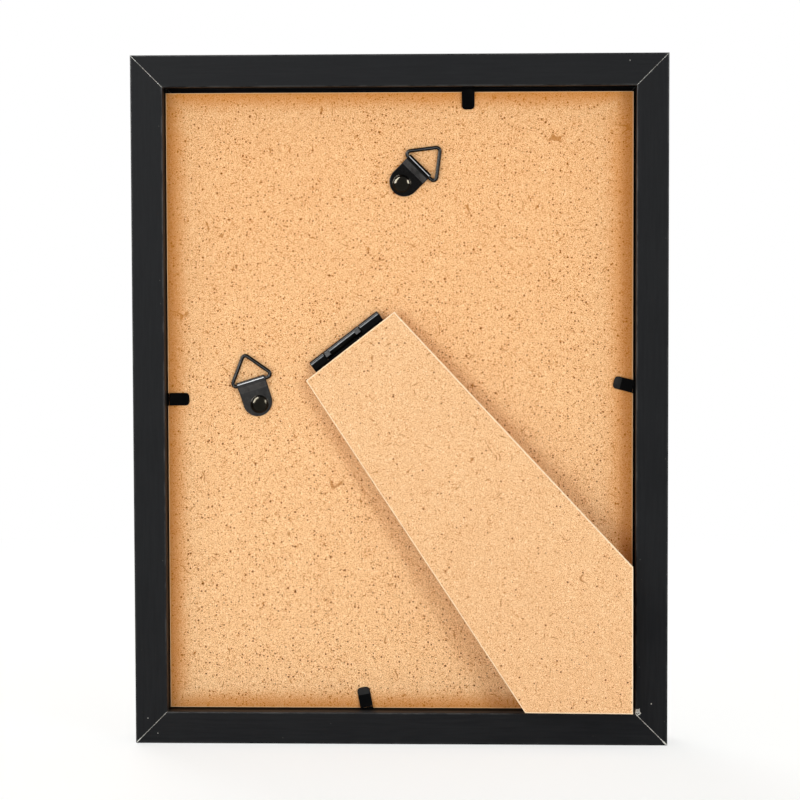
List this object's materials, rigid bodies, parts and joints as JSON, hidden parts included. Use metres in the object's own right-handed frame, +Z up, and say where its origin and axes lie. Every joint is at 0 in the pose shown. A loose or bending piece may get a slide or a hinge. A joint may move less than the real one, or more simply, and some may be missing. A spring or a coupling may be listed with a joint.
{
  "type": "easel back photo frame",
  "caption": "Upright picture frame with mitred black rails, a tan board back held by bendable tabs, a hinged diagonal easel strut and swivelling triangle hangers.",
  "frame": {"origin": "middle of the lower edge that the frame stands on, halfway through the moulding's depth", "axes": "+Z up, +X along the frame's width, -Y towards the viewer of the picture, +Y out of the back with the strut and the hangers"},
  "size_m": [0.172, 0.0256, 0.222],
  "materials": {
    "black_foil": "satin black foil wrapped round fibreboard",
    "panel_board": "raw tan fibreboard with fine dark fibres",
    "strut_board": "raw tan fibreboard, sanded, with eased edges",
    "clear_glass": "clear float glass",
    "plain_paper": "bare matt paper",
    "black_lacquer": "glossy black lacquer on steel",
    "bare_steel": "bare steel"
  },
  "bodies": {
    "frame": {"bottom_rail": "black_foil", "right_rail": "black_foil", "top_rail": "black_foil", "left_rail": "black_foil", "corner_v_nails": "bare_steel", "glass_pane": "clear_glass", "photo_insert": "plain_paper", "back_panel": "panel_board", "tab_anchors": "black_lacquer", "hinge_base_leaf": "black_lacquer", "base_leaf_rivets": "black_lacquer", "hinge_pin": "black_lacquer", "portrait_hanger_rivet": "black_lacquer", "landscape_hanger_rivet": "black_lacquer"},
    "easel_leg": {"easel_strut": "strut_board", "hinge_strut_leaf": "black_lacquer", "strut_leaf_tacks": "black_lacquer"},
    "portrait_strap": {"portrait_hanger_strap": "black_lacquer"},
    "portrait_ring": {"portrait_hanger_ring": "black_lacquer"},
    "landscape_strap": {"landscape_hanger_strap": "black_lacquer"},
    "landscape_ring": {"landscape_hanger_ring": "black_lacquer"},
    "top_tab": {"top_tab": "black_lacquer"},
    "right_tab": {"right_tab": "black_lacquer"},
    "bottom_tab": {"bottom_tab": "black_lacquer"},
    "left_tab": {"left_tab": "black_lacquer"}
  },
  "joints": [
    {"name": "leg_fold", "type": "hinge", "parent": "frame", "child": "easel_leg", "pos_m": [0.0177, 0.0022, 0.1305], "axis": [0.7955, 0, -0.606], "range_deg": [-4, 28]},
    {"name": "portrait_strap_swivel", "type": "hinge", "parent": "frame", "child": "portrait_strap", "pos_m": [-0.0006, 0.0008, 0.1809], "axis": [0, 1, 0], "continuous": true},
    {"name": "portrait_ring_flip", "type": "hinge", "parent": "portrait_strap", "child": "portrait_ring", "pos_m": [-0.00597, 0.002, 0.18627], "axis": [-0.7071, 0, -0.7071], "range_deg": [0, 130]},
    {"name": "landscape_strap_swivel", "type": "hinge", "parent": "frame", "child": "landscape_strap", "pos_m": [0.0457, 0.0008, 0.1098], "axis": [0, 1, 0], "continuous": true},
    {"name": "landscape_ring_flip", "type": "hinge", "parent": "landscape_strap", "child": "landscape_ring", "pos_m": [0.04796, 0.002, 0.11706], "axis": [-0.9548, 0, 0.2974], "range_deg": [0, 130]},
    {"name": "top_tab_bend", "type": "hinge", "parent": "frame", "child": "top_tab", "pos_m": [-0.022, 0.0019, 0.21085], "axis": [1, 0, 0], "range_deg": [0, 85]},
    {"name": "right_tab_bend", "type": "hinge", "parent": "frame", "child": "right_tab", "pos_m": [-0.07487, 0.0019, 0.11551], "axis": [-0.2419, 0, 0.9703], "range_deg": [0, 85]},
    {"name": "bottom_tab_bend", "type": "hinge", "parent": "frame", "child": "bottom_tab", "pos_m": [0.01136, 0.0019, 0.01113], "axis": [-0.9816, 0, 0.1908], "range_deg": [0, 85]},
    {"name": "left_tab_bend", "type": "hinge", "parent": "frame", "child": "left_tab", "pos_m": [0.07485, 0.0019, 0.1114], "axis": [0, 0, -1], "range_deg": [0, 85]}
  ]
}
